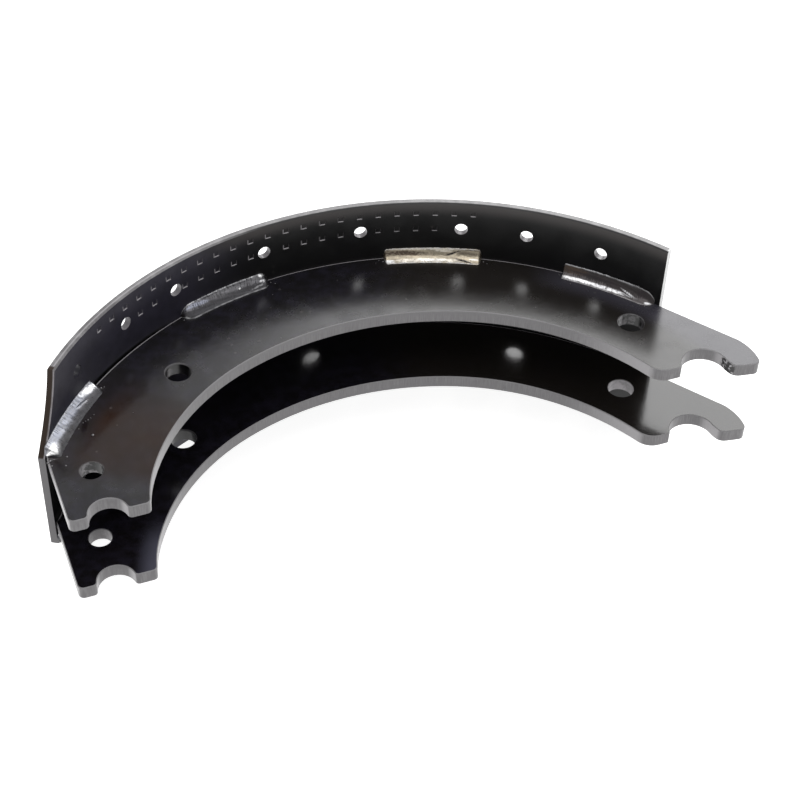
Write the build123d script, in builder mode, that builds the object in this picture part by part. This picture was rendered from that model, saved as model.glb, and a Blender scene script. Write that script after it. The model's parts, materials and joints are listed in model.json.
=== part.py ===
"""Bare drum brake shoe: a rolled table carried on two flat webs, joined by short fillet welds.

The origin is the centre of the anchor pin seat, half way between the webs. X runs along the line
through the two seats, from the roller end to the anchor end, Y towards the crown, and Z along the
drum axis. Plan sketches are drawn about the drum axis, on planes whose origin is that axis.
Sizes are in millimetres. Angles are in degrees at the drum axis, from +X towards the crown.
"""

import os
from math import acos, asin, cos, degrees, hypot, radians, sin, sqrt, tan

from build123d import *

# Table: the rolled plate that carries the lining.
table_radius = 190.5
table_thickness = 3.4
table_width = 121.0
table_right_angle = 32.1
table_edge_chamfer = 0.7
square_end_width = 57.0
square_end_offset = -3.4
corner_cut_length = 22.3
corner_cut_rise = 35.4
corner_cut_sag = 3.3

# Lining rivet holes: two outer rows and one middle row, all placed about the crown.
crown_angle = 90.0
outer_row_height = 44.1
outer_row_offsets = (8.05, 24.2, 34.7, 46.9)
rivet_hole_diameter = 6.8
middle_row_offset = 34.5
middle_hole_diameter = 10.0

# Dimples coined into the table's inner face, in two rows along each edge.
dimple_pitch = 9.87
dimple_size = 3.0
dimple_depth = 0.45
dimple_taper = 30.0
dimple_edge_distance = 6.7
dimple_first_angle = 130.5
dimple_row_end = 63.5
second_row_limit = 122.0
dimple_hole_margin = 1.0

# Webs: two identical blanked plates.
web_thickness = 7.2
web_spacing = 45.0
web_edge_chamfer = 0.4
web_end_setback = 1.9
seam_gap = 0.8
seam_gap_angle = 113.5

# Inner edge of the web: three arcs that run into each other without a corner. The two outer arcs
# are tighter than the middle one, and join it at angles taken at the middle one's centre.
web_depth = 36.0
inner_centre = (3.9, -11.4)
inner_left_join = 112.5
inner_left_tighter = 28.1
inner_right_join = 68.0
inner_right_tighter = 18.7
toe_bend_height = 20.0

# Seats at the two ends of the web, on one line square to the crown. The depth of each is the
# distance of its centre inside the table, measured towards the drum axis.
seat_line = 50.6
anchor_seat_depth = 20.43
anchor_seat_radius = 11.85
roller_seat_depth = 35.7
roller_seat_radius = 9.1
roller_land_width = 8.8
toe_width = 10.4
roller_seat_round = 2.2
left_corner_round = 3.0
left_toe_round = 2.5

# Tip outside the anchor seat and lobe inside it. Places are measured from the seat's centre, and
# the angles of the tip's outer arc at its own centre.
tip_centre = (0.0, -0.8)
tip_radius = 28.0
tip_shoulder_angle = 26.0
tip_shoulder_round = 14.0
tip_corner_angle = -15.6
tip_corner_round = 3.5
tip_lip = (13.4, -6.0)
tip_lip_round = 5.5
lobe_rise = 2.3
lobe_round = 10.0
lobe_seat_round = 1.0

# Holes through the web: angle, distance inside the table, and diameter.
roller_spring_hole = (151.1, 23.4, 11.2)
crown_hole = (123.8, 29.2, 12.6)
anchor_spring_hole = (33.6, 20.9, 13.6)
crown_hole_chamfer = 0.6
spring_hole_chamfer = 0.3

# Fillet welds between each web's outer face and the table. The first and last stop just short of
# the table's ends, the two between lie at these angles, and the legs up the table and across the
# web are given for all four. The one at the roller end is laid flatter.
weld_length = 52.0
first_weld_gap = 0.5
middle_weld_angles = (105.7, 70.2)
last_weld_gap = 2.7
weld_legs = ((4.2, 6.6), (5.2, 5.8), (5.2, 5.8), (6.0, 5.2))
weld_crown = 0.9
weld_end_slope = 20.0

# Values worked out from the sizes above.
seat_radius = table_radius - table_thickness
half_width = table_width / 2
web_face = (web_spacing + web_thickness) / 2
inner_radius = seat_radius - web_depth
inner_left_radius = inner_radius - inner_left_tighter
inner_right_radius = inner_radius - inner_right_tighter
weld_sweep = degrees(weld_length / seat_radius)
setback_angle = degrees(web_end_setback / seat_radius)
anchor_seat_x = sqrt((seat_radius - anchor_seat_depth) ** 2 - seat_line**2)
roller_seat_x = -sqrt((seat_radius - roller_seat_depth) ** 2 - seat_line**2)
left_corner_x = roller_seat_x - roller_seat_radius - roller_land_width
web_top_angle = degrees(acos(left_corner_x / seat_radius))
table_left_angle = web_top_angle + setback_angle
first_weld_angle = table_left_angle - degrees(first_weld_gap / seat_radius) - weld_sweep / 2
last_weld_angle = table_right_angle + degrees(last_weld_gap / seat_radius) + weld_sweep / 2
weld_angles = (first_weld_angle, *middle_weld_angles, last_weld_angle)
anchor_seat = (anchor_seat_x, seat_line)
drum_axis = Axis((-anchor_seat_x, -seat_line, 0), (0, 0, 1))

# How far cutters overrun what they cut.
overcut = 5.0
cutter_lead = 0.1

os.makedirs("parts", exist_ok=True)


def polar(radius, angle, centre=(0.0, 0.0)):
    """The point at that radius and angle about the centre."""
    return (centre[0] + radius * cos(radians(angle)), centre[1] + radius * sin(radians(angle)))


def from_seat(offset):
    """A point given from the centre of the anchor seat."""
    return (anchor_seat[0] + offset[0], anchor_seat[1] + offset[1])


def drum_plane(height=0.0):
    """A plane square to the drum axis, with its origin on that axis."""
    return Plane(origin=(-anchor_seat_x, -seat_line, height))


def radial_plane(radius, angle, height):
    """A plane touching a cylinder about the drum axis: x runs round it, y along the axis."""
    x, y = polar(radius, angle)
    return Plane(
        origin=(x - anchor_seat_x, y - seat_line, height),
        x_dir=(-sin(radians(angle)), cos(radians(angle)), 0),
        z_dir=(cos(radians(angle)), sin(radians(angle)), 0),
    )


def section_plane(angle, height):
    """A plane through the drum axis: x is the distance from the axis, y the height."""
    return Plane(
        origin=(-anchor_seat_x, -seat_line, height),
        x_dir=(cos(radians(angle)), sin(radians(angle)), 0),
        z_dir=(sin(radians(angle)), -cos(radians(angle)), 0),
    )


def save(builder, name):
    builder.part.label = name
    export_step(builder.part, f"parts/{name}.step")


# Shoe table. Both corners of its roller end are cut off along a hollow curve.
table_arc = table_left_angle - table_right_angle
outer_row_angles = [crown_angle + side * a for a in outer_row_offsets for side in (-1, 1)]
rivet_planes = [
    radial_plane(table_radius, angle, side * outer_row_height)
    for angle in outer_row_angles
    for side in (-1, 1)
]
middle_planes = [
    radial_plane(table_radius, crown_angle + step * middle_row_offset, 0) for step in (-1, 0, 1)
]

dimple_step = degrees(dimple_pitch / seat_radius)
dimple_count = int((dimple_first_angle - dimple_row_end) / dimple_step) + 1
dimple_angles = [dimple_first_angle - n * dimple_step for n in range(dimple_count)]
dimple_reach = degrees((rivet_hole_diameter / 2 + dimple_size / 2 + dimple_hole_margin) / seat_radius)
second_row_angles = [
    angle
    for angle in dimple_angles
    if angle < second_row_limit
    and min(abs(angle - hole) for hole in outer_row_angles) > dimple_reach
]
first_row_height = half_width - dimple_edge_distance
dimple_rows = (
    (first_row_height, dimple_angles),
    (first_row_height - dimple_pitch, second_row_angles),
)
dimple_planes = [
    radial_plane(seat_radius - cutter_lead, angle, side * height)
    for height, angles in dimple_rows
    for angle in angles
    for side in (-1, 1)
]

with BuildPart() as table:
    with BuildSketch(drum_plane()):
        with BuildLine():
            outside = CenterArc((0, 0), table_radius, table_right_angle, table_arc)
            inside = CenterArc((0, 0), seat_radius, table_right_angle, table_arc)
            Line(outside @ 0, inside @ 0)
            Line(outside @ 1, inside @ 1)
        make_face()
    extrude(amount=half_width, both=True)
    long_edges = table.edges().filter_by(lambda e: e.geom_type == GeomType.CIRCLE)
    chamfer(long_edges.filter_by(lambda e: e.radius < table_radius), table_edge_chamfer)
    for side in (-1, 1):
        cut_start = square_end_offset + side * square_end_width / 2
        cut_end = (-corner_cut_length, side * corner_cut_rise)
        with BuildSketch(radial_plane(table_radius, table_left_angle, cut_start)):
            with BuildLine():
                SagittaArc((0, 0), cut_end, side * corner_cut_sag)
                Polyline(
                    cut_end,
                    (-corner_cut_length, side * table_width),
                    (overcut, side * table_width),
                    (overcut, 0),
                    (0, 0),
                )
            make_face()
        extrude(amount=3 * table_thickness, both=True, mode=Mode.SUBTRACT)
    with BuildSketch(*rivet_planes):
        Circle(rivet_hole_diameter / 2)
    extrude(amount=2 * table_thickness, both=True, mode=Mode.SUBTRACT)
    with BuildSketch(*middle_planes):
        Circle(middle_hole_diameter / 2)
    extrude(amount=2 * table_thickness, both=True, mode=Mode.SUBTRACT)

    with BuildSketch(*dimple_planes):
        Rectangle(dimple_size, dimple_size)
    extrude(amount=dimple_depth + cutter_lead, taper=dimple_taper, mode=Mode.SUBTRACT)

save(table, "shoe_table")

# Webs.
inner_left_centre = polar(inner_left_tighter, inner_left_join, inner_centre)
inner_right_centre = polar(inner_right_tighter, inner_right_join, inner_centre)


def angle_at(centre, radius, height):
    """The angle from the X axis, in the first quarter, at which a circle reaches that height."""
    return degrees(asin((height - centre[1]) / radius))


table_corner = polar(seat_radius, table_right_angle)
web_top_corner = polar(seat_radius, web_top_angle)
seam_middle = polar(seat_radius - seam_gap, (web_top_angle + seam_gap_angle) / 2)
roller_seat = (roller_seat_x, seat_line)
left_corner = (left_corner_x, seat_line)
roller_seat_start = polar(roller_seat_radius, 180, roller_seat)
roller_seat_end = polar(roller_seat_radius, 0, roller_seat)
toe_corner = (roller_seat_end[0] + toe_width, seat_line)
toe_bend_angle = 180 - angle_at(inner_left_centre, inner_left_radius, seat_line + toe_bend_height)
toe_bend = polar(inner_left_radius, toe_bend_angle, inner_left_centre)
toe_bend_tangent = polar(1.0, toe_bend_angle + 90)
lobe_line = seat_line + lobe_rise
lobe_angle = angle_at(inner_right_centre, inner_right_radius, lobe_line)
lobe_corner = polar(inner_right_radius, lobe_angle, inner_right_centre)
lobe_seat_angle = 180 - angle_at(anchor_seat, anchor_seat_radius, lobe_line)
lobe_seat_corner = polar(anchor_seat_radius, lobe_seat_angle, anchor_seat)
tip_arc_centre = from_seat(tip_centre)
tip_shoulder = polar(tip_radius, tip_shoulder_angle, tip_arc_centre)
tip_corner = polar(tip_radius, tip_corner_angle, tip_arc_centre)

rounded_corners = (
    (left_corner, left_corner_round),
    (roller_seat_start, roller_seat_round),
    (roller_seat_end, roller_seat_round),
    (toe_corner, left_toe_round),
    (lobe_corner, lobe_round),
    (lobe_seat_corner, lobe_seat_round),
    (from_seat(tip_lip), tip_lip_round),
    (tip_corner, tip_corner_round),
    (tip_shoulder, tip_shoulder_round),
)
web_holes = (
    (roller_spring_hole, spring_hole_chamfer),
    (crown_hole, crown_hole_chamfer),
    (anchor_spring_hole, spring_hole_chamfer),
)


def make_web(side):
    """One web, on the side of the mid-plane that side gives as 1 or -1."""
    with BuildPart() as web:
        with BuildSketch(drum_plane(side * web_spacing / 2)) as outline:
            with BuildLine():
                CenterArc((0, 0), seat_radius, table_right_angle, seam_gap_angle - table_right_angle)
                ThreePointArc(polar(seat_radius, seam_gap_angle), seam_middle, web_top_corner)
                Line(web_top_corner, left_corner)
                Line(left_corner, roller_seat_start)
                CenterArc(roller_seat, roller_seat_radius, 0, 180)
                Line(roller_seat_end, toe_corner)
                TangentArc(toe_bend, toe_corner, tangent=toe_bend_tangent)
                CenterArc(inner_left_centre, inner_left_radius, inner_left_join,
                          toe_bend_angle - inner_left_join)
                CenterArc(inner_centre, inner_radius, inner_right_join,
                          inner_left_join - inner_right_join)
                CenterArc(inner_right_centre, inner_right_radius, lobe_angle,
                          inner_right_join - lobe_angle)
                Line(lobe_corner, lobe_seat_corner)
                CenterArc(anchor_seat, anchor_seat_radius, 0, lobe_seat_angle)
                Line(polar(anchor_seat_radius, 0, anchor_seat), from_seat(tip_lip))
                Line(from_seat(tip_lip), tip_corner)
                CenterArc(tip_arc_centre, tip_radius, tip_corner_angle,
                          tip_shoulder_angle - tip_corner_angle)
                Line(tip_shoulder, table_corner)
            make_face()
            for corner, radius in rounded_corners:
                fillet(outline.vertices().sort_by_distance((*corner, 0))[0], radius)
        extrude(amount=web_thickness / 2, both=True)
        flat_faces = web.faces().filter_by(Axis.Z)
        chamfer(flat_faces.edges(), web_edge_chamfer)
        for (angle, depth, diameter), hole_chamfer in web_holes:
            centre = polar(seat_radius - depth, angle)
            with BuildSketch(drum_plane(side * web_spacing / 2)):
                with Locations(centre):
                    Circle(diameter / 2)
            extrude(amount=web_thickness, both=True, mode=Mode.SUBTRACT)
            rims = web.edges(Select.LAST).filter_by(GeomType.CIRCLE)
            chamfer(rims, hole_chamfer)
    return web


save(make_web(1), "upper_web")
save(make_web(-1), "lower_web")


def weld_section(table_leg, web_leg):
    """Corner, table toe, two points on the bulged face and web toe, from the web's outer face."""
    face_length = hypot(table_leg, web_leg)
    bulge_in = weld_crown * table_leg / face_length
    bulge_up = weld_crown * web_leg / face_length
    return (
        (seat_radius, 0),
        (seat_radius, table_leg),
        (seat_radius - web_leg / 3 - bulge_in, table_leg * 2 / 3 + bulge_up),
        (seat_radius - web_leg * 2 / 3 - bulge_in, table_leg / 3 + bulge_up),
        (seat_radius - web_leg, 0),
    )


def weld_end_plane(angle, outward, side, legs):
    """The plane that ends a weld, leaning back from its root. It faces round the drum axis."""
    table_leg, web_leg = legs
    lean = tan(radians(weld_end_slope)) / hypot(table_leg, web_leg)
    x, y = polar(seat_radius, angle)
    return Plane(
        origin=(x - anchor_seat_x, y - seat_line, side * web_face),
        z_dir=(
            -outward * sin(radians(angle)) - lean * table_leg * cos(radians(angle)),
            outward * cos(radians(angle)) - lean * table_leg * sin(radians(angle)),
            side * lean * web_leg,
        ),
    )


# Fillet welds. The face of each is three flats, the middle one bulged out.
for side_name, side in (("upper", 1), ("lower", -1)):
    for number, (centre_angle, legs) in enumerate(zip(weld_angles, weld_legs), start=1):
        with BuildPart() as weld:
            start_angle = centre_angle - weld_sweep / 2
            with BuildSketch(section_plane(start_angle, side * web_face)):
                with BuildLine():
                    Polyline([(x, side * y) for x, y in weld_section(*legs)], close=True)
                make_face()
            revolve(axis=drum_axis, revolution_arc=weld_sweep)
            for angle, outward in ((start_angle, -1), (start_angle + weld_sweep, 1)):
                split(bisect_by=weld_end_plane(angle, outward, side, legs), keep=Keep.BOTTOM)
        save(weld, f"weld_{side_name}_{number}")
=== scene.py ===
"""A bare drum brake shoe in black paint: two webs welded to a rolled table, lying on its edge.

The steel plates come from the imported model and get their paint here. The fillet welds are made
again in detail, with their ripples, toes and blunt ends, and stand in for the plain solids.
Sizes are in metres. Angles are in degrees at the drum axis, from +X towards the crown.
"""

import json
import math

import bmesh
import bpy
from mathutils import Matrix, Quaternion, Vector, noise


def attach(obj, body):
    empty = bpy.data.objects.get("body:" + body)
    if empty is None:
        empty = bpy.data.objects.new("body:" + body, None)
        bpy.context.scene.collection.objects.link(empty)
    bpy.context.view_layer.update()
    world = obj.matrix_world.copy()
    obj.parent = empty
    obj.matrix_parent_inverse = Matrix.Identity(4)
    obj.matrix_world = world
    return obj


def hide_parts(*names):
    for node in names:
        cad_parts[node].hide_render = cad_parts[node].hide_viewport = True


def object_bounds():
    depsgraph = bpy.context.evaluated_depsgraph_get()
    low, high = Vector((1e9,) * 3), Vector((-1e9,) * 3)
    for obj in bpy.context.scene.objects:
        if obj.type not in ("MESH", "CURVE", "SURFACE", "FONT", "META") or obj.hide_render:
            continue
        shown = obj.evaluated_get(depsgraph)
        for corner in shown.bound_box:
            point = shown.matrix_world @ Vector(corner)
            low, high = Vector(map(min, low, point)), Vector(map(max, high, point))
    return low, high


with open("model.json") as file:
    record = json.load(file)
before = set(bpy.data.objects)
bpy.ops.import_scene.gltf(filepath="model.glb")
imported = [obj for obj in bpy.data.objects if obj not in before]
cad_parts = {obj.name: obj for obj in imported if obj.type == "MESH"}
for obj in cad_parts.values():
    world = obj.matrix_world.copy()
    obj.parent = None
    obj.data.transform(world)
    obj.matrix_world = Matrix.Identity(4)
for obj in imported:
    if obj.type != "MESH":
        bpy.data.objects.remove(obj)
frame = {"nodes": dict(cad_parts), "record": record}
cad_low, cad_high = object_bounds()
nodes = frame["nodes"]
record = frame["record"]

# Sizes of the plates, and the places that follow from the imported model.
table_radius = 0.1905
table_thickness = 0.0034
web_outer_face = 0.0261
mounts = {mount["name"]: Vector(mount["pos_m"]) for mount in record["mounts"]}
drum_axis = mounts["lining_seat"] - Vector((0.0, table_radius, 0.0))
hole_radii = {
    mount["name"]: mount["dims"]["r_mm"] / 1000
    for mount in record["mounts"]
    if mount["kind"] == "bore"
}
seat_radius = table_radius - table_thickness
floor_height = cad_low.z

# Camera: its place, how far it turns, looks down and leans over, its lens and its shift.
camera_place = Vector((-0.3871, -0.5396, 0.5889))
camera_heading = -22.6
camera_pitch = -42.59
camera_lean = 2.19
camera_lens = 77.94
camera_film_width = 36.0
camera_shift = (-0.0009, 0.0005)
camera_near, camera_far = 0.02, 30.0

# The two webs: the upper one stands above the drum's middle plane and the lower one below it,
# and a value can change from one to the other between these heights.
sides = {1: "upper", -1: "lower"}
between_webs = (-0.01, 0.01)


def polar(radius, angle, height=0.0):
    """The point at that radius, angle and height about the drum axis."""
    turn = math.radians(angle)
    return drum_axis + Vector((radius * math.cos(turn), radius * math.sin(turn), height))


# ---------------------------------------------------------------- node helpers


def new_material(name):
    material = bpy.data.materials.new(name)
    material.use_nodes = True
    tree = material.node_tree
    return material, tree, tree.nodes["Principled BSDF"]


def new_node(tree, kind, inputs=None, **settings):
    made = tree.nodes.new(kind)
    for key, value in settings.items():
        setattr(made, key, value)
    for key, value in (inputs or {}).items():
        if isinstance(value, bpy.types.NodeSocket):
            tree.links.new(value, made.inputs[key])
        else:
            made.inputs[key].default_value = value
    return made


def calc(tree, operation, first, second=0.0):
    return new_node(tree, "ShaderNodeMath", {0: first, 1: second}, operation=operation).outputs[0]


def times(tree, first, *others):
    """The product of everything given."""
    for other in others:
        first = calc(tree, "MULTIPLY", first, other)
    return first


def minus(tree, first, second):
    return calc(tree, "SUBTRACT", first, second)


def off_from(tree, value, target):
    """How far a value lies from its target, on either side."""
    return calc(tree, "ABSOLUTE", minus(tree, value, target))


def vector_calc(tree, operation, first, second=(0.0, 0.0, 0.0), output="Vector"):
    made = new_node(tree, "ShaderNodeVectorMath", {0: first, 1: second}, operation=operation)
    return made.outputs[output]


def rise(tree, value, low, high, start=0.0, end=1.0):
    """A smooth step: start below low, end above high."""
    inputs = {"Value": value, "From Min": low, "From Max": high, "To Min": start, "To Max": end}
    made = new_node(tree, "ShaderNodeMapRange", inputs, interpolation_type="SMOOTHSTEP")
    return made.outputs["Result"]


def fall(tree, value, low, high, start=1.0, end=0.0):
    """A smooth step the other way: full below low, gone above high."""
    return rise(tree, value, low, high, start, end)


def blend_colours(tree, factor, first, second):
    made = new_node(tree, "ShaderNodeMix", data_type="RGBA")
    for index, value in ((0, factor), (6, first), (7, second)):
        if isinstance(value, bpy.types.NodeSocket):
            tree.links.new(value, made.inputs[index])
        else:
            made.inputs[index].default_value = value if index == 0 else (*value, 1)
    return made.outputs[2]


def blend_values(tree, factor, first, second):
    inputs = {0: factor, 2: first, 3: second}
    return new_node(tree, "ShaderNodeMix", inputs, data_type="FLOAT").outputs[0]


def grain(tree, place, scale, detail=3.0, roughness=0.55):
    """Fractal noise from 0 to 1, with scale in lumps per metre."""
    inputs = {"Vector": place, "Scale": scale, "Detail": detail, "Roughness": roughness}
    return new_node(tree, "ShaderNodeTexNoise", inputs).outputs["Fac"]


def specks(tree, place, size, share):
    """Small scattered specks on that share of the cells: 1 on a speck, 0 elsewhere."""
    inputs = {"Vector": place, "Scale": 1.0 / size, "Randomness": 1.0}
    cells = new_node(tree, "ShaderNodeTexVoronoi", inputs)
    near = fall(tree, cells.outputs["Distance"], 0.10, 0.22)
    draw = split_axes(tree, cells.outputs["Color"])[0]
    return times(tree, near, rise(tree, draw, 1 - share, 1 - share + 0.01))


def join_axes(tree, x, y, z):
    return new_node(tree, "ShaderNodeCombineXYZ", {0: x, 1: y, 2: z}).outputs[0]


def split_axes(tree, vector):
    return new_node(tree, "ShaderNodeSeparateXYZ", {0: vector}).outputs


def bump_chain(tree, shader, layers):
    """Stack bumps on the shader. Each layer is a height, its distance and its strength."""
    normal = None
    for height, distance, strength in layers:
        inputs = {"Height": height, "Distance": distance, "Strength": strength}
        if normal is not None:
            inputs["Normal"] = normal
        normal = new_node(tree, "ShaderNodeBump", inputs).outputs[0]
    tree.links.new(normal, shader.inputs["Normal"])


def drum_places(tree):
    """Object place, angle round the drum axis, distance from it and height."""
    place = new_node(tree, "ShaderNodeTexCoord").outputs["Object"]
    x, y, z = split_axes(tree, vector_calc(tree, "SUBTRACT", place, tuple(drum_axis)))
    angle = calc(tree, "DEGREES", calc(tree, "ARCTAN2", y, x))
    distance = calc(
        tree, "SQRT", calc(tree, "ADD", times(tree, x, x), times(tree, y, y))
    )
    return place, angle, distance, z


def drum_facings(tree):
    """How far a face looks along the radius either way, up, and ahead to the anchor end."""
    texture = new_node(tree, "ShaderNodeTexCoord")
    normal = texture.outputs["Normal"]
    from_axis = vector_calc(tree, "SUBTRACT", texture.outputs["Object"], tuple(drum_axis))
    x, y, _ = split_axes(tree, from_axis)
    outward = vector_calc(tree, "NORMALIZE", join_axes(tree, x, y, 0.0))
    forward = vector_calc(tree, "CROSS_PRODUCT", outward, (0.0, 0.0, 1.0))
    across = vector_calc(tree, "DOT_PRODUCT", outward, normal, "Value")
    ahead = vector_calc(tree, "DOT_PRODUCT", forward, normal, "Value")
    return calc(tree, "ABSOLUTE", across), split_axes(tree, normal)[2], ahead


def reach_from(tree, place, centre, radius):
    """How far a place lies outside an upright cylinder: negative inside it."""
    flat = vector_calc(tree, "MULTIPLY", place, (1, 1, 0))
    distance = vector_calc(tree, "DISTANCE", flat, (centre.x, centre.y, 0.0), "Value")
    return minus(tree, distance, radius)


def by_web(tree, height, lower, upper):
    """One value on the lower web and another on the upper one."""
    return rise(tree, height, *between_webs, lower, upper)


# ---------------------------------------------------------------- black paint on the plates

deep_black = (0.0016, 0.0015, 0.0018)
painted_shade_black = (0.0005, 0.0005, 0.0006)
gloss_black = (0.0050, 0.0044, 0.0052)
smoky_black = (0.0110, 0.0092, 0.0076)
warm_black = (0.0200, 0.0075, 0.0030)
violet_black = (0.0165, 0.0150, 0.0255)
hazy_violet = (0.0400, 0.0380, 0.0500)
hazy_umber = (0.046, 0.041, 0.040)
speckled_grey = (0.06, 0.055, 0.055)
dust_grey = (0.10, 0.09, 0.085)
cut_grey = (0.092, 0.088, 0.092)
rubbed_grey = (0.26, 0.255, 0.26)
sheared_white = (0.60, 0.60, 0.60)
sheared_and_highlight_pale = (0.34, 0.33, 0.34)
painted_blue_sheen = (0.066, 0.066, 0.090)
flame_brown = (0.0190, 0.0095, 0.0042)
pale_bare_and_highlight_grey = (0.300, 0.285, 0.300)

# The web's edge next to the table is drawn back a little, most in the middle of this stretch.
seam_gap = 0.0008
seam_middle, seam_half = 131.3, 17.8

# The toe is the web's end inside this arc of its inner edge, next to the roller seat.
inner_left_centre = Vector((-0.16566, -0.03604, 0.0))
inner_left_radius = 0.123

# A stretch is the pair of values between which something comes or goes. These are for the webs:
# how flat a face lies, angles, distances from the drum axis, and distances from a mark.
tilting, lying_flat = (0.30, 0.60), (0.80, 0.95)
hole_wall_reach = (0.0010, 0.0014)
smoky_angles = (70.0, 86.0)
heat_start, heat_stop = (126.0, 138.0), (148.0, 155.0)
heat_distances = (seat_radius - 0.019, seat_radius - 0.009)
toe_angles, toe_reach = (143.0, 152.0), (0.0, 0.011)
haze_angles, haze_distances = (47.0, 55.0), (0.168, 0.180)
thin_line_start, thin_line_stop = (33.0, 34.0), (148.0, 149.0)
thin_line_width = (0.0007, 0.0011)
facing_sideways = (0.70, 0.97)

# Pale share of each hole's wall, bare metal in patches with a painted highlight on walls facing
# right: upper web facing right and elsewhere, then lower web.
hole_walls = (
    ("roller_spring_hole", 0.60, 0.55, 0.60),
    ("crown_hole", 0.30, 0.02, 0.06),
    ("anchor_spring_hole", 0.75, 0.22, 0.95),
)

# Where the anchor pin has rubbed the upper web's hooked tip, and how far the scuffs reach.
hook_rub = mounts["anchor_seat"] + Vector((13.0, -1.0, 0.0)) / 1000
hook_rub.z = 0.0225
hook_rub_reach = (0.0058, 0.0074)
hook_rub_raggedness = 0.004


def paint_hole_walls(tree, place, height, facing_x, mottle):
    """Where hole walls are, their bare patches, and a painted highlight on walls facing right."""
    patches = rise(tree, grain(tree, place, 300.0, 3.0), 0.46, 0.58)
    smudges = fall(tree, mottle, 0.35, 0.65, 1.0, 0.55)
    facing_right = rise(tree, facing_x, -0.1, 0.8)
    in_hole, bare_and_lit = 0.0, 0.0
    for hole, right_lit_share, rest_bare, lower_bare in hole_walls:
        reach = reach_from(tree, place, mounts[hole], hole_radii[hole])
        here = fall(tree, reach, *hole_wall_reach)
        upper = times(tree, patches, rise(tree, facing_right, 0.0, 1.0, rest_bare, right_lit_share))
        lower = times(tree, smudges, lower_bare)
        wall_share = blend_values(tree, by_web(tree, height, 0.0, 1.0), lower, upper)
        bare_and_lit = calc(tree, "ADD", bare_and_lit, times(tree, here, wall_share))
        in_hole = calc(tree, "ADD", in_hole, here)
    return in_hole, bare_and_lit


def paint_thin_line(tree, angle, distance):
    """A fine pale line along the web's corner with the table."""
    bow = calc(tree, "DIVIDE", minus(tree, angle, seam_middle), seam_half)
    drawn_back = calc(tree, "MAXIMUM", minus(tree, 1.0, times(tree, bow, bow)), 0.0)
    edge_radius = minus(tree, seat_radius, times(tree, drawn_back, seam_gap))
    line = fall(tree, off_from(tree, edge_radius, distance), *thin_line_width)
    line = times(tree, line, rise(tree, angle, *thin_line_start, 0.0, 0.9))
    return times(tree, line, fall(tree, angle, *thin_line_stop))


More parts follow.
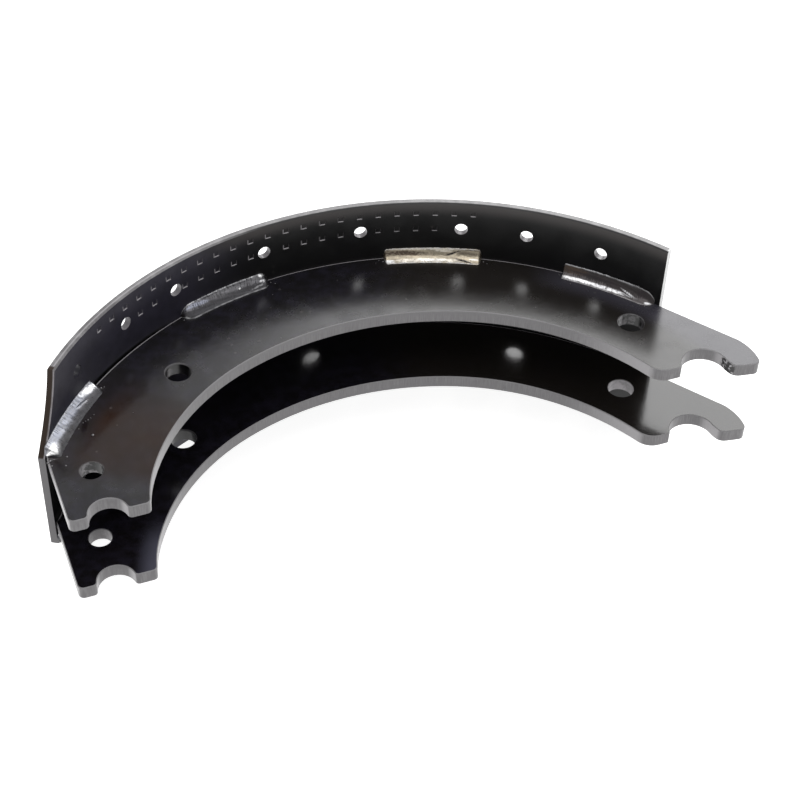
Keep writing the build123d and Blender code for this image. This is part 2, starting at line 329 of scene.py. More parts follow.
def paint_web(name):
    material, tree, shader = new_material(name)
    place, angle, distance, height = drum_places(tree)
    facing_x, _, facing_z = split_axes(tree, new_node(tree, "ShaderNodeTexCoord").outputs["Normal"])
    flat = calc(tree, "ABSOLUTE", facing_z)
    on_edge = fall(tree, flat, *tilting)
    on_chamfer = times(tree, rise(tree, flat, *tilting), fall(tree, flat, *lying_flat))
    on_upper_web = by_web(tree, height, 0.0, 1.0)
    mottle = grain(tree, place, 160.0, 4.0, 0.65)

    # Faces: smoky towards the anchor end and, on the upper web, brown by the roller end's weld.
    clouds = grain(tree, place, 22.0, 4.0)
    face = blend_colours(tree, rise(tree, mottle, 0.35, 0.7, 0.0, 0.5), gloss_black, violet_black)
    face = blend_colours(tree, fall(tree, angle, *smoky_angles, 0.85), face, smoky_black)
    heated = times(
        tree, rise(tree, angle, *heat_start), fall(tree, angle, *heat_stop), on_upper_web
    )
    warmth = times(
        tree, heated, rise(tree, clouds, 0.35, 0.65, 0.5, 1.0),
        fall(tree, distance, *heat_distances, 1.0, 0.25),
    )
    face = blend_colours(tree, warmth, face, warm_black)
    # Painted reflection: a bluish sheen along the inner edge of the lower web's toe.
    toe_painted_light = times(
        tree, fall(tree, reach_from(tree, place, inner_left_centre, inner_left_radius), *toe_reach),
        rise(tree, angle, *toe_angles), by_web(tree, height, 0.85, 0.0),
    )
    face = blend_colours(tree, toe_painted_light, face, painted_blue_sheen)
    hazy = times(
        tree, fall(tree, angle, *haze_angles, 0.75), rise(tree, distance, *haze_distances),
        on_upper_web,
    )
    face = blend_colours(tree, hazy, face, hazy_violet)
    dust = times(tree, specks(tree, place, 0.0045, 0.08), by_web(tree, height, 0.03, 0.25))
    face = blend_colours(tree, dust, face, dust_grey)
    face = blend_colours(tree, paint_thin_line(tree, angle, distance), face, pale_bare_and_highlight_grey)

    # Cut edges are satin grey with fine upright shear lines and a painted highlight where they face
    # along X, and the holes are painted in patches.
    shear = join_axes(tree, times(tree, angle, 3.2), times(tree, height, 40.0), 0.0)
    lines = grain(tree, shear, 3.0, 3.0)
    edge = blend_colours(tree, rise(tree, lines, 0.3, 0.8, 0.0, 0.35), cut_grey, rubbed_grey)
    edge = blend_colours(tree, rise(tree, mottle, 0.62, 0.75, 0.0, 0.4), edge, speckled_grey)
    painted_edge_glare = rise(tree, calc(tree, "ABSOLUTE", facing_x), *facing_sideways, 0.0, 0.8)
    edge = blend_colours(tree, painted_edge_glare, edge, sheared_and_highlight_pale)
    in_hole, bare_and_lit = paint_hole_walls(tree, place, height, facing_x, mottle)
    hole_wall = blend_colours(tree, bare_and_lit, deep_black, pale_bare_and_highlight_grey)
    edge = blend_colours(tree, in_hole, edge, hole_wall)
    rub = vector_calc(tree, "DISTANCE", place, tuple(hook_rub), "Value")
    rub = calc(tree, "ADD", rub, times(tree, mottle, hook_rub_raggedness))
    wear_and_highlight = times(tree, fall(tree, rub, *hook_rub_reach), on_upper_web)
    scratches = rise(tree, grain(tree, place, 600.0, 2.0), 0.50, 0.62)
    edge = blend_colours(
        tree, wear_and_highlight, edge, blend_colours(tree, scratches, gloss_black, sheared_and_highlight_pale)
    )

    colour = blend_colours(tree, on_edge, face, edge)
    chamfer = times(tree, on_chamfer, blend_values(tree, in_hole, 0.75, 0.25))
    colour = blend_colours(tree, chamfer, colour, rubbed_grey)
    tree.links.new(colour, shader.inputs["Base Color"])

    worn = rise(tree, grain(tree, place, 70.0, 5.0, 0.6), 0.35, 0.72, 0.22, 0.30)
    worn = times(tree, worn, by_web(tree, height, 0.55, 1.0))
    face_roughness = minus(tree, worn, times(tree, heated, 0.12))
    edge_roughness = blend_values(tree, in_hole, 0.32, 0.28)
    roughness = blend_values(tree, on_edge, face_roughness, edge_roughness)
    tree.links.new(roughness, shader.inputs["Roughness"])
    peel = grain(tree, place, 420.0, 2.0, 0.4)
    shallow = grain(tree, place, 45.0, 3.0)
    bump_chain(tree, shader, ((peel, 0.00003, 0.30), (shallow, 0.0004, 0.08)))
    return material


# Coined dimples: angle of the first, step, count, half size and the two rows' heights. The
# second row starts later and leaves room for the rivet holes.
dimple_first, dimple_step, dimple_count = 130.5, 3.0225, 23
dimple_half = 0.0017
dimple_heights = (0.0538, 0.04393)
dimple_strip_width, dimple_strip_height = (0.00018, 0.00028), (0.0013, 0.0015)
second_row_start = 122.0
rivet_angles = (136.9, 124.7, 114.2, 98.05, 81.95, 65.8)
rivet_shift, rivet_room = 0.5, 1.75

# Stretches for the table: how far a face looks outward, up or ahead, angles, heights, distances
# from the drum axis, and widths as shares of the table's thickness from its inner face.
edgewise, sloping, facing_away = (0.35, 0.60), (0.30, 0.42), (0.80, 0.95)
facing_up, facing_bit = (0.50, 0.60), (0.15, 0.30)
rim_heights = (0.0591, 0.0593)
roller_end_angles, anchor_end_angles = (142.0, 142.4), (32.2, 32.5)
flame_cut_heights = (0.0245, 0.0255)
inside_distances = (seat_radius + 0.0012, seat_radius + 0.0020)
bluish_angles, violet_haze_heights = (98.0, 116.0), (0.044, 0.058)
umber_haze_angles, umber_haze_heights = (98.0, 112.0), (0.0515, 0.0592)
rivet_hole_light_angles = (128.0, 132.0)
crisp_rim_angles = (82.0, 96.0)
dimmer_highlight_angles, dimmer_highlight_heights = (78.0, 92.0), (0.046, 0.050)
shade_angles = (seam_middle - seam_half, seam_middle - seam_half + 6.0)
shade_heights = (0.0268, 0.0276)
painted_rim_angles = (112.0, 130.0)
bright_line_angles, bright_line_width, bright_line_middle = (98.0, 114.0), (0.04, 0.16), 0.42
dark_corner_angles, dark_corner_width = (96.0, 110.0), (0.12, 0.24)
bare_corner_width = (0.12, 0.30)


def dimple_rim_highlights(tree, angle, level):
    """A thin strip along the roller side of each dimple: a painted highlight on its sharp rim."""
    steps = calc(tree, "DIVIDE", minus(tree, dimple_first, angle), dimple_step)
    number = calc(tree, "ROUND", steps)
    behind = times(tree, minus(tree, number, steps), math.radians(dimple_step) * seat_radius)
    strip = times(
        tree, fall(tree, off_from(tree, behind, dimple_half), *dimple_strip_width),
        calc(tree, "LESS_THAN", number, dimple_count - 0.5),
        calc(tree, "GREATER_THAN", number, -0.5),
    )
    first_row, second_row = (
        fall(tree, off_from(tree, level, row), *dimple_strip_height) for row in dimple_heights
    )
    second_row = times(tree, second_row, calc(tree, "LESS_THAN", angle, second_row_start))
    for rivet in rivet_angles:
        to_rivet = off_from(tree, angle, rivet + rivet_shift)
        second_row = times(tree, second_row, calc(tree, "GREATER_THAN", to_rivet, rivet_room))
    return times(tree, strip, calc(tree, "ADD", first_row, second_row))


def paint_table(name):
    material, tree, shader = new_material(name)
    place, angle, distance, height = drum_places(tree)
    outward, upward, ahead = drum_facings(tree)
    level = calc(tree, "ABSOLUTE", height)
    turned = fall(tree, outward, *edgewise)
    on_rim = times(
        tree, rise(tree, calc(tree, "ABSOLUTE", upward), *facing_up),
        rise(tree, level, *rim_heights),
    )
    on_roller_end = times(tree, turned, rise(tree, angle, *roller_end_angles))
    on_anchor_end = times(tree, turned, fall(tree, angle, *anchor_end_angles))
    on_flame_cut = times(tree, on_roller_end, rise(tree, height, *flame_cut_heights))
    on_inside = fall(tree, distance, *inside_distances)

    # Faces: bluish and duller towards the roller end, deep black from the crown on, and hazy
    # below the rim.
    mottle = grain(tree, place, 150.0, 4.0, 0.65)
    clouds = grain(tree, place, 16.0, 4.0)
    bluish = times(
        tree, rise(tree, angle, *bluish_angles), rise(tree, mottle, 0.25, 0.65, 0.6, 1.0)
    )
    face = blend_colours(tree, bluish, deep_black, violet_black)
    violet_haze = times(tree, bluish, rise(tree, height, *violet_haze_heights, 0.0, 0.8))
    face = blend_colours(tree, violet_haze, face, hazy_violet)
    umber_haze = times(
        tree, fall(tree, angle, *umber_haze_angles),
        rise(tree, height, *umber_haze_heights, 0.0, 0.9),
    )
    face = blend_colours(tree, umber_haze, face, hazy_umber)
    face = blend_colours(tree, rise(tree, clouds, 0.60, 0.85, 0.0, 0.3), face, gloss_black)
    dust = times(tree, specks(tree, place, 0.006, 0.10), 0.12)
    face = blend_colours(tree, dust, face, dust_grey)

    # Dimples: painted highlights on lower slopes, and up to the crown on their roller sides too.
    on_slope = times(tree, rise(tree, outward, *sloping), fall(tree, outward, *facing_away))
    lit_ahead = times(
        tree, rise(tree, ahead, *facing_bit), rise(tree, angle, *crisp_rim_angles)
    )
    lit_slope = calc(tree, "MAXIMUM", rise(tree, upward, *facing_bit), lit_ahead)
    dimmer_highlight = times(
        tree, fall(tree, angle, *dimmer_highlight_angles), fall(tree, level, *dimmer_highlight_heights, 0.6)
    )
    wear_and_highlight = times(tree, on_slope, lit_slope, minus(tree, 1.0, dimmer_highlight), 0.9)
    face = blend_colours(tree, wear_and_highlight, face, pale_bare_and_highlight_grey)
    # Painted reflection: pale grey rivet hole walls, except the hole nearest the roller end.
    rivet_hole_reflection = times(tree, turned, fall(tree, angle, *rivet_hole_light_angles, 0.6))
    face = blend_colours(tree, rivet_hole_reflection, face, pale_bare_and_highlight_grey)
    rim_highlights = times(
        tree, dimple_rim_highlights(tree, angle, level), rise(tree, angle, *crisp_rim_angles, 0.0, 0.7),
        on_inside,
    )
    face = blend_colours(tree, rim_highlights, face, pale_bare_and_highlight_grey)

    # Next to the webs' drawn back edges the table lies in deep shade.
    shade = times(
        tree, rise(tree, angle, *shade_angles), fall(tree, level, *shade_heights), on_inside
    )
    face = blend_colours(tree, shade, face, painted_shade_black)

    # The rim is cut bare, with a painted highlight, a bright line along its middle, at the roller
    # end, and it is dark along its inner corner from the crown on.
    bared = minus(
        tree, rise(tree, mottle, 0.4, 0.7, 0.4, 0.9),
        rise(tree, angle, *painted_rim_angles, 0.0, 0.35),
    )
    rim = blend_colours(tree, bared, cut_grey, rubbed_grey)
    into_rim = calc(tree, "DIVIDE", minus(tree, distance, seat_radius), table_thickness)
    bright_line = times(
        tree, fall(tree, off_from(tree, into_rim, bright_line_middle), *bright_line_width),
        rise(tree, angle, *bright_line_angles, 0.0, 0.6),
    )
    rim = blend_colours(tree, bright_line, rim, sheared_and_highlight_pale)
    dark_corner = times(
        tree, fall(tree, into_rim, *dark_corner_width), fall(tree, angle, *dark_corner_angles, 0.95)
    )
    rim = blend_colours(tree, dark_corner, rim, deep_black)

    # The roller end was cut by flame and is sooty, apart from its inner corner.
    bare_corner = times(
        tree, fall(tree, into_rim, *bare_corner_width, 0.8),
        rise(tree, mottle, 0.35, 0.60, 0.6, 1.0),
    )
    flame_cut = blend_colours(tree, bare_corner, flame_brown, pale_bare_and_highlight_grey)

    colour = blend_colours(tree, on_roller_end, face, cut_grey)
    colour = blend_colours(tree, on_rim, colour, rim)
    colour = blend_colours(tree, on_anchor_end, colour, sheared_white)
    colour = blend_colours(tree, on_flame_cut, colour, flame_cut)
    tree.links.new(colour, shader.inputs["Base Color"])

    worn = rise(tree, grain(tree, place, 60.0, 5.0, 0.6), 0.35, 0.72, 0.30, 0.40)
    on_cut = calc(tree, "MAXIMUM", on_rim, on_roller_end)
    roughness = blend_values(tree, on_cut, worn, 0.40)
    roughness = blend_values(tree, on_flame_cut, roughness, 0.85)
    tree.links.new(roughness, shader.inputs["Roughness"])
    peel = grain(tree, place, 420.0, 2.0, 0.4)
    rolled = grain(tree, place, 30.0, 3.0)
    bump_chain(tree, shader, ((peel, 0.00003, 0.25), (rolled, 0.0005, 0.10)))
    return material


def dress(node_name, material):
    piece = nodes[node_name]
    piece.data.materials.clear()
    piece.data.materials.append(material)


web_paint = paint_web("web_paint")
table_paint = paint_table("table_paint")
dress("upper_web", web_paint)
dress("lower_web", web_paint)
dress("shoe_table", table_paint)


# ---------------------------------------------------------------- weld metal

film_black = (0.02, 0.018, 0.02)
scaly_silver = (0.50, 0.48, 0.47)
spatter_grey = (0.13, 0.125, 0.13)
soot_grey = (0.035, 0.029, 0.030)
dull_grey = (0.075, 0.073, 0.080)
soft_grey = (0.090, 0.086, 0.088)
plain_grey = (0.100, 0.097, 0.105)
steel_grey = (0.110, 0.111, 0.122)
blue_grey = (0.105, 0.112, 0.136)
blue_shine = (0.190, 0.200, 0.250)
pale_highlight_silver = (0.62, 0.62, 0.64)
highlight_silver = (0.95, 0.95, 0.95)
straw = (0.36, 0.31, 0.23)
cream = (0.80, 0.75, 0.66)
umber = (0.060, 0.038, 0.024)
plum_black = (0.020, 0.014, 0.017)


def make_weld_metal(name):
    """Bright weld metal with a broken film of paint: the hue comes with each bead."""
    material, tree, shader = new_material(name)
    place = new_node(tree, "ShaderNodeTexCoord").outputs["Object"]
    hue = new_node(tree, "ShaderNodeAttribute", attribute_name="bead_colour").outputs["Color"]
    fine = grain(tree, place, 1500.0, 4.0, 0.65)
    broad = grain(tree, place, 350.0, 4.0, 0.6)
    colour = blend_colours(tree, fall(tree, fine, 0.30, 0.60, 0.16), hue, film_black)
    colour = blend_colours(tree, rise(tree, broad, 0.62, 0.82, 0.0, 0.12), colour, scaly_silver)
    tree.links.new(colour, shader.inputs["Base Color"])
    tree.links.new(rise(tree, broad, 0.30, 0.70, 0.24, 0.38), shader.inputs["Roughness"])
    shader.inputs["Metallic"].default_value = 0.85
    shader.inputs["Coat Weight"].default_value = 0.5
    shader.inputs["Coat Roughness"].default_value = 0.12
    bump_chain(tree, shader, ((fine, 0.0001, 0.12), (broad, 0.0003, 0.18)))
    return material


weld_metal = make_weld_metal("weld_metal")


def add_weld_piece(name, shape):
    """A smooth piece of weld metal from that shape, which is used up."""
    for face in shape.faces:
        face.smooth = True
    mesh = bpy.data.meshes.new(name)
    shape.to_mesh(mesh)
    shape.free()
    mesh.materials.append(weld_metal)
    piece = bpy.data.objects.new(name, mesh)
    bpy.context.scene.collection.objects.link(piece)
    return piece


# Each bead: centre angle, legs up the table and across the web, bulge, ripple pitch and depth,
# how long its two ends take to round off, how coarse its skin is, how bright the painted
# highlights along its toes at the table and at the web are, its ground colour, and its patches
# and grooves. A patch is a middle along and across the bead from 0 to 1, its half lengths, its
# slant, its colour and its strength. Patches lie in order. A groove is the same with its depth in
# place of the last two. The silver patches are painted highlights, the cream ones partly the
# metal's colour and partly painted highlight, and the plum black ones partly dark scale and
# partly painted shade in the grooves and at the ends.
bead_length = 0.052
bead_looks = {
    1: {
        "centre": 141.5, "table_leg": 0.0048, "web_leg": 0.0072, "bulge": 0.0006,
        "pitch": 0.0011, "depth": 0.000003, "blunt": (0.0015, 0.0036), "coarse": 0.00002,
        "toe_highlight": (0.15, 0.10), "ground": steel_grey,
        "patches": (
            (0.45, 0.25, 0.60, 0.40, 0.0, blue_grey, 0.9),
            (0.72, 0.78, 0.30, 0.30, 0.0, plain_grey, 0.85),
            (0.25, 0.85, 0.30, 0.25, 0.0, soft_grey, 0.8),
            (0.86, 0.30, 0.15, 0.26, 1.2, pale_highlight_silver, 0.7),
            (0.87, 0.25, 0.09, 0.14, 1.2, highlight_silver, 1.0),
            (0.05, 0.50, 0.09, 0.45, 0.0, pale_highlight_silver, 0.4),
            (0.03, 0.50, 0.05, 0.32, 0.0, highlight_silver, 1.0),
            (0.98, 0.45, 0.04, 0.70, 0.0, dull_grey, 0.7),
        ),
        "grooves": ((0.68, 0.48, 0.10, 0.05, 1.0, 0.00025),),
    },
    2: {
        "centre": 105.7, "table_leg": 0.0054, "web_leg": 0.0062, "bulge": 0.0009,
        "pitch": 0.0013, "depth": 0.00002, "blunt": (0.0060, 0.0040), "coarse": 0.00005,
        "toe_highlight": (1.00, 0.90), "ground": dull_grey,
        "patches": (
            (0.17, 0.28, 0.16, 0.18, 0.6, blue_shine, 0.9),
            (0.50, 0.04, 0.45, 0.08, 0.0, steel_grey, 0.7),
            (0.40, 0.82, 0.45, 0.10, 0.0, steel_grey, 0.6),
            (0.93, 0.10, 0.04, 0.16, 0.0, highlight_silver, 1.0),
            (0.92, 0.52, 0.04, 0.14, 0.0, pale_highlight_silver, 0.9),
            (0.86, 0.74, 0.10, 0.07, -0.8, pale_highlight_silver, 0.7),
            (0.66, 0.48, 0.02, 0.06, 0.0, highlight_silver, 0.7),
            (0.02, 0.88, 0.035, 0.12, 0.0, highlight_silver, 1.0),
            (0.00, 0.50, 0.03, 0.30, 0.0, plum_black, 0.9),
        ),
        "grooves": ((0.76, 0.82, 0.10, 0.03, 0.6, 0.00022),),
    },
    3: {
        "centre": 70.2, "table_leg": 0.0054, "web_leg": 0.0060, "bulge": -0.0011,
        "pitch": 0.0014, "depth": 0.00001, "blunt": (0.0016, 0.0016), "coarse": 0.00005,
        "toe_highlight": (0.80, 0.90), "ground": straw,
        "patches": (
            (0.25, 0.32, 0.32, 0.20, 0.4, umber, 0.95),
            (0.86, 0.30, 0.16, 0.12, 0.0, umber, 0.6),
            (0.04, 0.28, 0.05, 0.28, 0.0, umber, 0.7),
            (0.45, 0.06, 0.40, 0.09, 0.0, cream, 0.8),
            (0.62, 0.18, 0.14, 0.09, 0.0, cream, 0.7),
            (0.45, 0.82, 0.48, 0.18, 0.0, cream, 0.95),
            (0.05, 0.85, 0.07, 0.16, 0.0, highlight_silver, 1.0),
            (0.50, 0.80, 0.18, 0.10, 0.0, highlight_silver, 0.7),
            (0.71, 0.30, 0.11, 0.07, -2.0, plum_black, 1.0),
            (0.90, 0.08, 0.12, 0.05, 0.0, umber, 0.9),
            (0.80, 0.76, 0.13, 0.08, 1.4, plum_black, 1.0),
            (0.93, 0.66, 0.06, 0.05, 0.0, highlight_silver, 0.8),
            (0.985, 0.30, 0.02, 0.40, 0.0, umber, 0.6),
        ),
        "grooves": (
            (0.70, 0.34, 0.09, 0.05, -2.2, 0.00045),
            (0.84, 0.80, 0.10, 0.05, 1.3, 0.00035),
        ),
    },
    4: {
        "centre": 40.9, "table_leg": 0.0060, "web_leg": 0.0058, "bulge": -0.0010,
        "pitch": 0.0012, "depth": 0.00002, "blunt": (0.0010, 0.0080), "coarse": 0.00005,
        "toe_highlight": (0.70, 0.25), "ground": soot_grey,
        "patches": (
            (0.12, 0.28, 0.18, 0.30, 0.0, umber, 0.9),
            (0.30, 0.02, 0.30, 0.05, 0.0, pale_highlight_silver, 0.7),
            (0.62, 0.05, 0.22, 0.06, 0.4, steel_grey, 0.8),
            (0.35, 0.36, 0.40, 0.10, 0.0, plum_black, 0.8),
            (0.40, 0.80, 0.46, 0.14, -0.12, pale_highlight_silver, 0.95),
            (0.20, 0.78, 0.22, 0.10, 0.0, highlight_silver, 0.8),
            (0.58, 0.82, 0.10, 0.08, 0.0, highlight_silver, 0.8),
            (0.72, 0.60, 0.10, 0.06, 1.6, pale_highlight_silver, 0.9),
            (0.70, 0.80, 0.05, 0.05, 1.6, plum_black, 0.7),
            (0.88, 0.30, 0.10, 0.34, 0.0, plum_black, 0.85),
            (0.95, 0.82, 0.04, 0.12, 0.0, pale_highlight_silver, 0.9),
        ),
        "grooves": ((0.72, 0.76, 0.10, 0.04, 1.6, 0.00030),),
    },
}

# The bead's section has points on its face, and on its back, which sinks this deep into the
# plates. A back point is marked in place of its share across the face.
face_points, back_points = 30, 4
bead_steps = 240
bead_root = 0.0003
back_mark = -1.0

# The noise on a bead's skin: lumps per metre along it, lumps across it, and a layer of its own.
bulge_noise, ripple_noise, toe_noise = (260, 2.0, 0.0), (420, 0.0, 5.0), (700, 1.0, 9.0)
coarse_noise, fleck_noise, streak_noise = (1400, 9.0, 2.0), (900, 16.0, 6.0), (70, 9.0, 3.0)
toe_highlight_noise = (330, 1.0, 8.0)
streak_slant = 1.1

# Each bead starts at its own place in that noise, by its number and its side.
number_seed, side_seed, start_seed = 7.3, 3.1, 1.7

# How far the skin wanders: shares of its bulge and pitch, metres at its toes, and the share of
# the section that is left at the very end.
bulge_waver, ripple_curl, ripple_waver = 0.22, 0.9, 0.35
toe_waver, toe_ripple = 0.00022, 0.00004
thinnest_end = 0.18

# How its colour wanders, and how the edge of a patch and the painted highlight along a toe
# break up.
streak_contrast, fleck_contrast = 0.60, 0.20
patch_softness, patch_fleck, patch_streak = 1.8, 1.3, 0.8
toe_highlight_middle, toe_highlight_width, toe_highlight_share, toe_highlight_breaks = 0.03, 0.07, 0.75, 1.2
darkest_metal = 0.004


def patch_weight(along, across, middle_along, middle_across, half_along, half_across, slant):
    """How far a place lies inside a slanted oval patch: 1 in its middle, 0 outside."""
    reach = (along - middle_along) / half_along
    drift = (across - middle_across - slant * (along - middle_along)) / half_across
    inside = 1.0 - math.sqrt(reach * reach + drift * drift)
    return min(1.0, max(0.0, inside * patch_softness))


def wander(layer, seed, reach, across):
    """Smooth noise from -1 to 1 at that distance along a bead and that share across it."""
    per_metre, per_width, depth = layer
    return noise.noise(Vector((reach * per_metre, across * per_width, depth)) + seed)


def skin_lift(look, seed, reach, along, across):
    """How far the face stands out from a flat fillet, and how far its toes creep on."""
    curl = ripple_curl * math.sin(math.pi * across) ** 2
    waver = ripple_waver * wander(ripple_noise, seed, reach, across)
    phase = reach / look["pitch"] + curl + waver
    ripple = look["depth"] * (2.0 * abs(math.sin(math.pi * phase)) - 1.0)
    swell = look["bulge"] * math.sin(math.pi * across)
    swell *= 1.0 + bulge_waver * wander(bulge_noise, seed, reach, across)
    lift = swell + ripple * min(1.0, 4 * across, 4 * (1 - across))
    for *groove, depth in look["grooves"]:
        lift -= depth * patch_weight(along, across, *groove)
    lift += look["coarse"] * wander(coarse_noise, seed, reach, across)
    toe = toe_waver * wander(toe_noise, seed, reach, round(across))
    return lift, toe + toe_ripple * ripple / look["depth"]


def skin_colour(look, seed, reach, along, across):
    """The ground colour with streaks and flecks, patches over it and painted toe highlights."""
    streak = wander(streak_noise, seed, reach, across - streak_slant * along)
    fleck = wander(fleck_noise, seed, reach, across)
    colour = Vector(look["ground"]) * (1.0 + streak_contrast * streak + fleck_contrast * fleck)
    for *patch, patch_colour, strength in look["patches"]:
        weight = patch_weight(along, across, *patch)
        if weight > 0:
            weight *= 1.0 + patch_fleck * fleck + patch_streak * streak
            colour = colour.lerp(Vector(patch_colour), min(1.0, max(0.0, weight)) * strength)
    for gap_to_toe, strength in zip((across, 1.0 - across), look["toe_highlight"]):
        broken = toe_highlight_share + toe_highlight_breaks * wander(toe_highlight_noise, seed, reach, strength)
        toe_painted_light = max(0.0, 1.0 - abs(gap_to_toe - toe_highlight_middle) / toe_highlight_width)
        weight = strength * toe_painted_light * min(1.0, max(0.0, broken))
        colour = colour.lerp(Vector(pale_highlight_silver), weight)
    return (*[max(darkest_metal, channel) for channel in colour], 1.0)


def bead_section(shape, look, start_angle, side):
    """The closed ring at the bead's first end. Each point keeps its share across the face."""
    table_leg, web_leg = look["table_leg"], look["web_leg"]
    across_layer = shape.verts.layers.float.new("across")
    bmesh.ops.create_circle(
        shape, cap_ends=False, segments=face_points + back_points, radius=1.0
    )
    backs = (
        (web_leg, -bead_root), (web_leg / 2, -bead_root),
        (-bead_root, -bead_root), (-bead_root, table_leg),
    )
    for index, vertex in enumerate(shape.verts):
        if index < face_points:
            share = index / (face_points - 1)
            inward, up = share * web_leg, (1 - share) * table_leg
            vertex[across_layer] = share
        else:
            inward, up = backs[index - face_points]
            vertex[across_layer] = back_mark
        vertex.co = polar(seat_radius - inward, start_angle, side * (web_outer_face + up))
    return across_layer


def lay_bead(number, side):
    """One fillet weld on the outer side of a web, with side as 1 for the upper and -1 the lower."""
    look = bead_looks[number]
    table_leg, web_leg = look["table_leg"], look["web_leg"]
    start_blunt, end_blunt = look["blunt"]
    face_length = math.hypot(table_leg, web_leg)
    seed = Vector((number * number_seed, side * side_seed, start_seed))
    sweep = math.degrees(bead_length / seat_radius)
    start_angle = look["centre"] + sweep / 2

    shape = bmesh.new()
    across_layer = bead_section(shape, look, start_angle, side)
    bmesh.ops.spin(
        shape, geom=shape.verts[:] + shape.edges[:], cent=drum_axis, axis=(0, 0, 1),
        angle=-math.radians(sweep), steps=bead_steps, use_merge=False, use_duplicate=False,
    )
    bmesh.ops.holes_fill(shape, edges=[e for e in shape.edges if e.is_boundary], sides=0)
    bmesh.ops.recalc_face_normals(shape, faces=shape.faces)

    colours = shape.verts.layers.float_color.new("bead_colour")
    for vertex in shape.verts:
        offset = vertex.co - drum_axis
        angle = math.degrees(math.atan2(offset.y, offset.x))
        along = (start_angle - angle) / sweep
        reach = along * bead_length
        across = vertex[across_layer]
        inward = seat_radius - math.hypot(offset.x, offset.y)
        up = abs(offset.z) - web_outer_face

        if across != back_mark:
            lift, toe = skin_lift(look, seed, reach, along, across)
            inward += lift * table_leg / face_length + toe * max(0.0, 2 * across - 1)
            up += lift * web_leg / face_length + toe * max(0.0, 1 - 2 * across)

        # Both ends round off.
        for gap, blunt in ((reach, start_blunt), (bead_length - reach, end_blunt)):
            if gap < blunt:
                shrink = min(1.0, 1.0 - gap / blunt)
                keep = max(thinnest_end, math.sqrt(1.0 - shrink * shrink))
                inward *= keep
                up *= keep

        vertex.co = polar(seat_radius - inward, angle, side * (web_outer_face + up))
        vertex[colours] = skin_colour(look, seed, reach, along, across)

    side_name = sides[side]
    bead = add_weld_piece(f"bead_{side_name}_{number}", shape)
    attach(bead, "root")
    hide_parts(f"weld_{side_name}_{number}")


for side in sides:
    for number in bead_looks:
        lay_bead(number, side)

# Weld spatter stuck to the outer face of a web: angle, then distance inside the table and radius
# in millimetres.
spatter_places = (
    (133.6, 4.6, 0.65), (133.2, 5.6, 0.35), (134.6, 6.2, 0.25), (143.5, 16.3, 0.75),
    (142.9, 8.5, 0.35), (141.5, 8.6, 0.40), (141.0, 9.2, 0.30), (140.6, 9.9, 0.40),
    (140.1, 10.5, 0.30), (139.3, 11.0, 0.35), (149.0, 9.9, 0.55), (150.8, 11.1, 0.45),
    (150.3, 3.1, 0.80), (150.7, 2.5, 0.60), (151.2, 4.8, 0.45), (149.9, 4.6, 0.35),
    (113.9, 3.4, 0.45), (97.5, 3.0, 0.45), (97.0, 4.8, 0.40), (78.4, 3.5, 0.60),
    (79.0, 2.4, 0.40), (79.6, 4.2, 0.30), (61.8, 3.0, 0.50), (61.2, 4.4, 0.40),
    (49.2, 3.1, 0.40), (46.8, 8.1, 0.35), (33.9, 5.2, 0.55), (33.3, 3.6, 0.50),
    (34.6, 6.6, 0.30), (106.7, 30.8, 0.25), (98.6, 12.5, 0.22), (124.5, 21.0, 0.22),
    (136.4, 27.3, 0.25), (87.0, 14.0, 0.20), (66.0, 19.0, 0.20),
)
spatter_lift = 0.0001
spatter_flatness = 0.6
spatter_unevenness, spatter_lumps = 0.35, 1800


def scatter_spatter(side):
    """The drops on one web as one piece: low, and no two of the same shape."""
    shape = bmesh.new()
    colours = shape.verts.layers.float_color.new("bead_colour")
    for index, (angle, inside, size) in enumerate(spatter_places):
        made = bmesh.ops.create_icosphere(shape, subdivisions=2, radius=size / 1000)
        height = side * (web_outer_face + spatter_lift)
        middle = polar(seat_radius - inside / 1000, angle, height)
        for vertex in made["verts"]:
            where = vertex.co * spatter_lumps + Vector((index, side, 0.0))
            lump = 1.0 + spatter_unevenness * noise.noise(where)
            x, y, z = vertex.co
            vertex.co = middle + Vector((x * lump, y * lump, z * spatter_flatness * lump))
            vertex[colours] = (*spatter_grey, 1.0)
    side_name = sides[side]
    spatter = add_weld_piece(f"spatter_{side_name}", shape)
    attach(spatter, "root")


for side in sides:
    scatter_spatter(side)


# ---------------------------------------------------------------- floor, lights and camera

floor_half = 6.0
floor_grey = (0.6, 0.6, 0.6)
floor_roughness = 0.9
floor_glow = 0.88
room_glow = 0.6
white = (1.0, 1.0, 1.0)


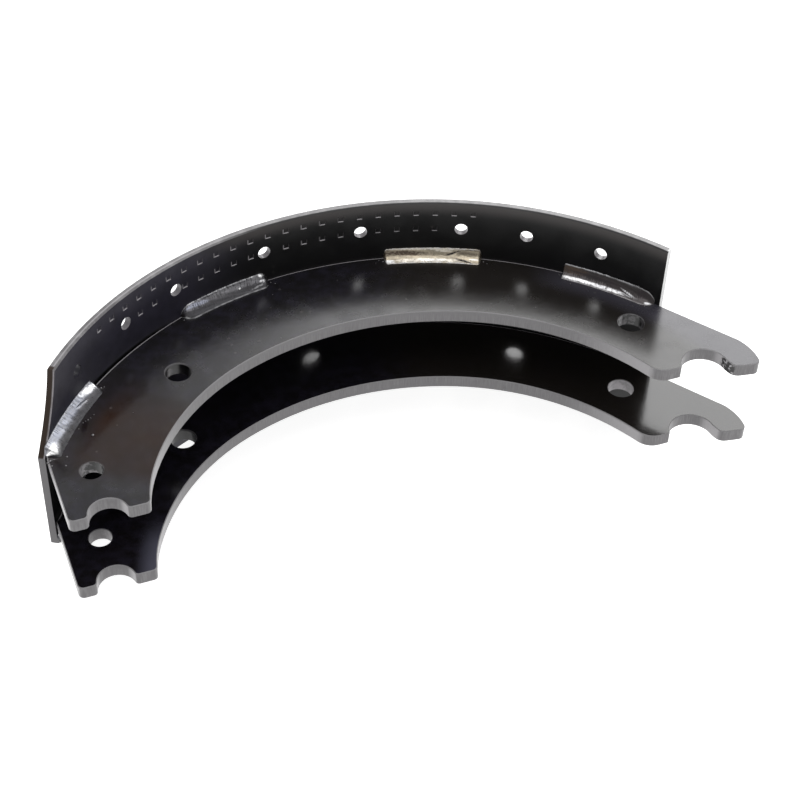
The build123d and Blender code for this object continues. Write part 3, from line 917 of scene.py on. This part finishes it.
def add_floor():
    shape = bmesh.new()
    bmesh.ops.create_grid(shape, x_segments=1, y_segments=1, size=floor_half)
    bmesh.ops.translate(shape, vec=(0, 0, floor_height), verts=shape.verts)
    mesh = bpy.data.meshes.new("floor")
    shape.to_mesh(mesh)
    shape.free()
    material, _, shader = new_material("pale_floor")
    shader.inputs["Base Color"].default_value = (*floor_grey, 1)
    shader.inputs["Roughness"].default_value = floor_roughness
    shader.inputs["Specular IOR Level"].default_value = 0.0
    shader.inputs["Emission Color"].default_value = (*white, 1)
    shader.inputs["Emission Strength"].default_value = floor_glow
    mesh.materials.append(material)
    floor = bpy.data.objects.new("floor", mesh)
    bpy.context.scene.collection.objects.link(floor)


def add_softbox(name, offset, width, height, radiance):
    """A rectangle of light at that offset from the shoe's middle, which it faces."""
    light = bpy.data.lights.new(name, "AREA")
    light.shape = "RECTANGLE"
    light.size, light.size_y = width, height
    light.energy = radiance * math.pi * width * height
    middle = (cad_low + cad_high) / 2
    place = middle + Vector(offset)
    box = bpy.data.objects.new(name, light)
    box.location = place
    box.rotation_mode = "QUATERNION"
    box.rotation_quaternion = (middle - place).to_track_quat("-Z", "Y")
    bpy.context.scene.collection.objects.link(box)


def add_room():
    room = bpy.data.worlds.new("studio")
    room.use_nodes = True
    background = room.node_tree.nodes["Background"]
    background.inputs["Color"].default_value = (*white, 1)
    background.inputs["Strength"].default_value = room_glow
    bpy.context.scene.world = room


def add_camera():
    camera = bpy.data.cameras.new("camera")
    camera.lens = camera_lens
    camera.sensor_width = camera_film_width
    camera.shift_x, camera.shift_y = camera_shift
    camera.clip_start, camera.clip_end = camera_near, camera_far
    stand = bpy.data.objects.new("camera", camera)
    stand.location = camera_place
    stand.rotation_mode = "QUATERNION"
    heading = Quaternion((0, 0, 1), math.radians(camera_heading))
    tilt = Quaternion((1, 0, 0), math.radians(90 + camera_pitch))
    lean = Quaternion((0, 0, 1), math.radians(camera_lean))
    stand.rotation_quaternion = heading @ tilt @ lean
    bpy.context.scene.collection.objects.link(stand)
    bpy.context.scene.camera = stand


add_floor()
add_camera()
add_softbox("back_softbox", (1.13, 1.13, 1.35), width=1.6, height=1.2, radiance=5.0)
add_softbox("top_softbox", (0.0, -0.2, 2.2), width=2.5, height=2.5, radiance=1.5)
add_room()
bpy.context.scene.view_settings.view_transform = "Standard"
